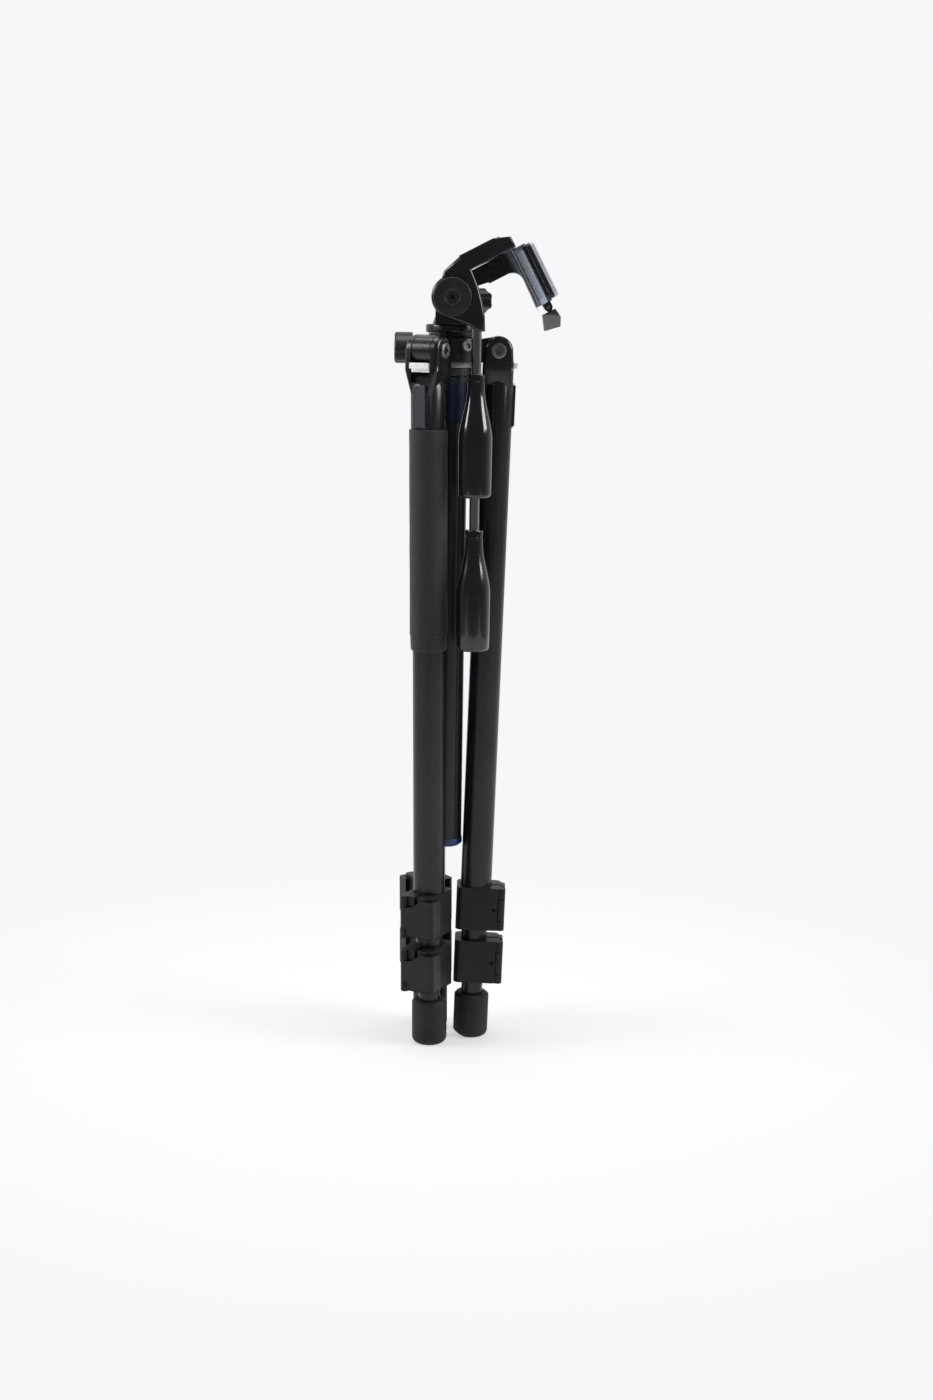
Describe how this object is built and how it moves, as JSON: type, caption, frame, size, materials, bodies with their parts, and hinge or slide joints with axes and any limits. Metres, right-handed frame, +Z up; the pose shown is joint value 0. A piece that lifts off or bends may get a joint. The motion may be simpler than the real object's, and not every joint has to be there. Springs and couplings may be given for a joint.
{
  "type": "camera tripod",
  "caption": "Folded camera tripod with flip-lock telescopic legs, a sliding centre column and a three-way pan and tilt head with a long handle.",
  "frame": {"origin": "on the floor, under the axis of the centre column", "axes": "+Z up along the centre column; +X from the column towards the leg on the head's folded side; +Y away from the side that carries the pan handle"},
  "size_m": [0.1274, 0.0976, 0.64],
  "materials": {
    "black_anodised": "satin black anodised",
    "moulded_black": "fine textured moulding",
    "lever_black": "smooth moulding",
    "screw_steel": "zinc plated",
    "latch_steel": "bright",
    "foot_rubber": "matt",
    "foam": "closed-cell foam",
    "rod_chrome": "polished",
    "grip_gloss": "glossy",
    "bushing_blue": "dark blue",
    "ring_blue": "bright blue",
    "cast_black": "satin black paint",
    "hub_grey": "satin grey",
    "plate_grey": "light grey pad",
    "release_grey": "satin",
    "knob_black": "moulded"
  },
  "bodies": {
    "shoulder_set": {"shoulder": "moulded_black", "column_bushing": "bushing_blue", "guide_screw": "screw_steel", "leg_pivot_bolts": "screw_steel"},
    "leg_a": {"leg_casting_a": "moulded_black", "upper_tube_a": "black_anodised", "upper_collar_a": "moulded_black", "upper_lock_pins_a": "screw_steel", "foam_grip": "foam"},
    "latch_a": {"angle_latch_a": "latch_steel"},
    "mid_a": {"mid_tube_a": "black_anodised", "lower_collar_a": "moulded_black", "lower_lock_pins_a": "screw_steel"},
    "low_a": {"lower_tube_a": "black_anodised", "foot_a": "foot_rubber"},
    "upper_flip_a": {"upper_lever_a": "lever_black"},
    "lower_flip_a": {"lower_lever_a": "lever_black"},
    "leg_b": {"leg_casting_b": "moulded_black", "upper_tube_b": "black_anodised", "upper_collar_b": "moulded_black", "upper_lock_pins_b": "screw_steel"},
    "latch_b": {"angle_latch_b": "latch_steel"},
    "mid_b": {"mid_tube_b": "black_anodised", "lower_collar_b": "moulded_black", "lower_lock_pins_b": "screw_steel"},
    "low_b": {"lower_tube_b": "black_anodised", "foot_b": "foot_rubber"},
    "upper_flip_b": {"upper_lever_b": "lever_black"},
    "lower_flip_b": {"lower_lever_b": "lever_black"},
    "leg_c": {"leg_casting_c": "moulded_black", "upper_tube_c": "black_anodised", "upper_collar_c": "moulded_black", "upper_lock_pins_c": "screw_steel"},
    "latch_c": {"angle_latch_c": "latch_steel"},
    "mid_c": {"mid_tube_c": "black_anodised", "lower_collar_c": "moulded_black", "lower_lock_pins_c": "screw_steel"},
    "low_c": {"lower_tube_c": "black_anodised", "foot_c": "foot_rubber"},
    "upper_flip_c": {"upper_lever_c": "lever_black"},
    "lower_flip_c": {"lower_lever_c": "lever_black"},
    "column": {"centre_column": "black_anodised", "column_end_ring": "ring_blue", "head_plate": "cast_black"},
    "clamp_knob": {"column_clamp_knob": "knob_black"},
    "pan": {"pan_base": "cast_black"},
    "pan_knob": {"pan_lock_knob": "knob_black"},
    "tilt": {"tilt_body": "cast_black", "tilt_axle": "screw_steel", "hub_cap": "hub_grey", "side_tilt_bolt": "screw_steel"},
    "handle_1": {"handle_rod_1": "rod_chrome", "handle_grip_1": "grip_gloss"},
    "handle_2": {"handle_rod_2": "rod_chrome", "handle_grip_2": "grip_gloss"},
    "platform": {"side_tilt_bracket": "moulded_black", "camera_plate": "plate_grey", "release_pin": "screw_steel"},
    "release": {"release_lever": "release_grey"},
    "plate_screw": {"camera_screw": "screw_steel"}
  },
  "joints": [
    {"name": "leg_hinge_a", "type": "hinge", "parent": "shoulder_set", "child": "leg_a", "pos_m": [-0.01795, -0.03109, 0.554], "axis": [-0.866, 0.5, 0], "range_deg": [0, 71.4]},
    {"name": "latch_slide_a", "type": "slide", "parent": "leg_a", "child": "latch_a", "axis": [0.0126, 0.0218, -0.9997], "range_m": [0, 0.007], "stiffness_N_per_m": 350, "springref_m": -0.008},
    {"name": "mid_slide_a", "type": "slide", "parent": "leg_a", "child": "mid_a", "axis": [0.0126, 0.0218, -0.9997], "range_m": [0, 0.33]},
    {"name": "lower_slide_a", "type": "slide", "parent": "mid_a", "child": "low_a", "axis": [0.0126, 0.0218, -0.9997], "range_m": [0, 0.33]},
    {"name": "upper_flip_a", "type": "hinge", "parent": "leg_a", "child": "upper_flip_a", "pos_m": [-0.03154, -0.03383, 0.10903], "axis": [0.0126, 0.0218, -0.9997], "range_deg": [0, 110]},
    {"name": "lower_flip_a", "type": "hinge", "parent": "mid_a", "child": "lower_flip_a", "pos_m": [-0.03098, -0.03286, 0.06454], "axis": [0.0126, 0.0218, -0.9997], "range_deg": [0, 110]},
    {"name": "leg_hinge_b", "type": "hinge", "parent": "shoulder_set", "child": "leg_b", "pos_m": [0.0359, 0, 0.554], "axis": [0, -1, 0], "range_deg": [0, 71.4]},
    {"name": "latch_slide_b", "type": "slide", "parent": "leg_b", "child": "latch_b", "axis": [-0.0251, 0, -0.9997], "range_m": [0, 0.007], "stiffness_N_per_m": 350, "springref_m": -0.008},
    {"name": "mid_slide_b", "type": "slide", "parent": "leg_b", "child": "mid_b", "axis": [-0.0251, 0, -0.9997], "range_m": [0, 0.33]},
    {"name": "lower_slide_b", "type": "slide", "parent": "mid_b", "child": "low_b", "axis": [-0.0251, 0, -0.9997], "range_m": [0, 0.33]},
    {"name": "upper_flip_b", "type": "hinge", "parent": "leg_b", "child": "upper_flip_b", "pos_m": [0.04507, -0.0104, 0.10903], "axis": [-0.0251, 0, -0.9997], "range_deg": [0, 110]},
    {"name": "lower_flip_b", "type": "hinge", "parent": "mid_b", "child": "lower_flip_b", "pos_m": [0.04395, -0.0104, 0.06454], "axis": [-0.0251, 0, -0.9997], "range_deg": [0, 110]},
    {"name": "leg_hinge_c", "type": "hinge", "parent": "shoulder_set", "child": "leg_c", "pos_m": [-0.01795, 0.03109, 0.554], "axis": [0.866, 0.5, 0], "range_deg": [0, 71.4]},
    {"name": "latch_slide_c", "type": "slide", "parent": "leg_c", "child": "latch_c", "axis": [0.0126, -0.0218, -0.9997], "range_m": [0, 0.007], "stiffness_N_per_m": 350, "springref_m": -0.008},
    {"name": "mid_slide_c", "type": "slide", "parent": "leg_c", "child": "mid_c", "axis": [0.0126, -0.0218, -0.9997], "range_m": [0, 0.33]},
    {"name": "lower_slide_c", "type": "slide", "parent": "mid_c", "child": "low_c", "axis": [0.0126, -0.0218, -0.9997], "range_m": [0, 0.33]},
    {"name": "upper_flip_c", "type": "hinge", "parent": "leg_c", "child": "upper_flip_c", "pos_m": [-0.01353, 0.04423, 0.10903], "axis": [0.0126, -0.0218, -0.9997], "range_deg": [0, 110]},
    {"name": "lower_flip_c", "type": "hinge", "parent": "mid_c", "child": "lower_flip_c", "pos_m": [-0.01297, 0.04326, 0.06454], "axis": [0.0126, -0.0218, -0.9997], "range_deg": [0, 110]},
    {"name": "column_slide", "type": "slide", "parent": "shoulder_set", "child": "column", "axis": [0, 0, 1], "range_m": [0, 0.3]},
    {"name": "clamp_knob_spin", "type": "hinge", "parent": "shoulder_set", "child": "clamp_knob", "pos_m": [-0.0375, 0, 0.554], "axis": [-1, 0, 0], "range_deg": [0, 360]},
    {"name": "pan_turn", "type": "hinge", "parent": "column", "child": "pan", "pos_m": [0, 0, 0.57], "axis": [0, 0, 1], "range_deg": [-12, 6]},
    {"name": "pan_knob_spin", "type": "hinge", "parent": "pan", "child": "pan_knob", "pos_m": [0.02006, 0.01807, 0.5915], "axis": [0.7431, 0.6691, 0], "range_deg": [0, 360]},
    {"name": "tilt_turn", "type": "hinge", "parent": "pan", "child": "tilt", "pos_m": [0, 0, 0.594], "axis": [0, -1, 0], "range_deg": [0, 150]},
    {"name": "handle_spin_1", "type": "hinge", "parent": "tilt", "child": "handle_1", "pos_m": [0.01862, -0.0325, 0.549], "axis": [0.0026, 0, -1], "range_deg": [0, 360]},
    {"name": "handle_spin_2", "type": "hinge", "parent": "handle_1", "child": "handle_2", "pos_m": [0.01893, -0.0325, 0.431], "axis": [0.0026, 0, -1], "range_deg": [0, 360]},
    {"name": "side_tilt_turn", "type": "hinge", "parent": "tilt", "child": "platform", "pos_m": [0.0408, 0, 0.61524], "axis": [0.4617, 0, -0.887], "range_deg": [0, 90]},
    {"name": "release_turn", "type": "hinge", "parent": "platform", "child": "release", "pos_m": [0.07328, 0, 0.5875], "axis": [0, 1, 0], "range_deg": [0, 45]},
    {"name": "camera_screw_slide", "type": "slide", "parent": "platform", "child": "plate_screw", "axis": [0.887, 0, 0.4617], "range_m": [0, 0.0055]}
  ]
}
